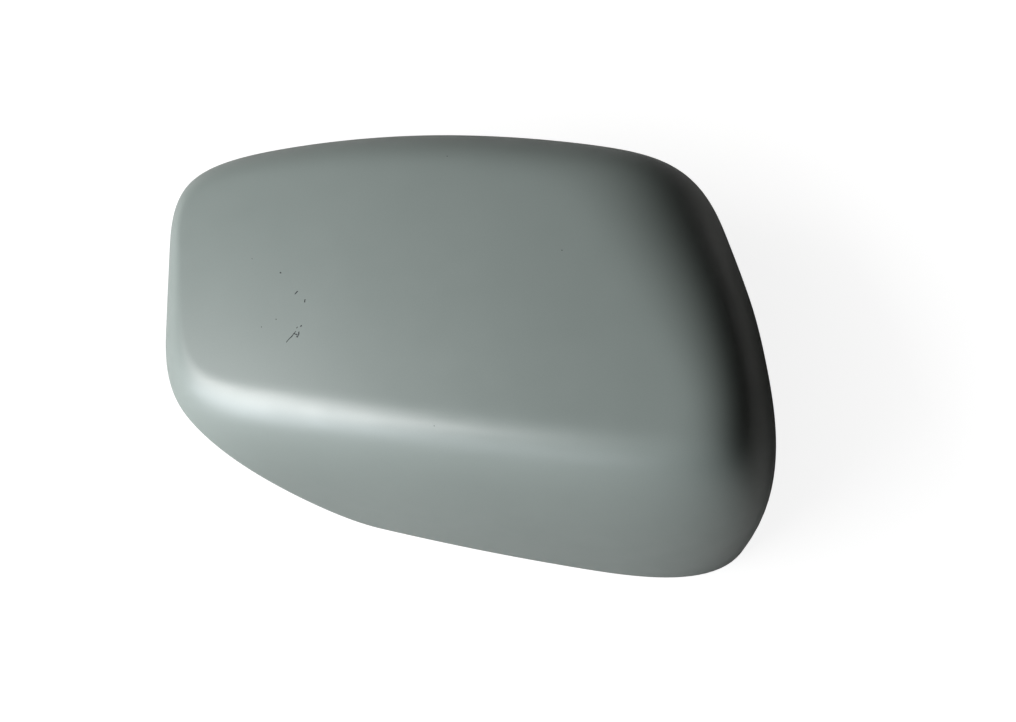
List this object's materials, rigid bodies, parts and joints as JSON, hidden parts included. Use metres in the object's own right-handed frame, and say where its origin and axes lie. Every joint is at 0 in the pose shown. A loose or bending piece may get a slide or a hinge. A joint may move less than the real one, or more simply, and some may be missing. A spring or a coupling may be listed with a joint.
{
  "type": "wing mirror cover",
  "caption": "Moulded shell that snaps over the front of a car door mirror, soft-cornered and deeper at its outboard end, with a cut-out for the mirror arm.",
  "frame": {"origin": "middle of the shell's outline in plan, in the plane of its open rim", "axes": "+X towards the outboard end, +Y towards the upper edge of the fitted mirror, +Z out of the front face"},
  "size_m": [0.231, 0.1596, 0.0903],
  "materials": {
    "primed_abs": "satin grey primer on moulded ABS"
  },
  "bodies": {
    "root": {"mirror_cover": "primed_abs"}
  },
  "joints": []
}
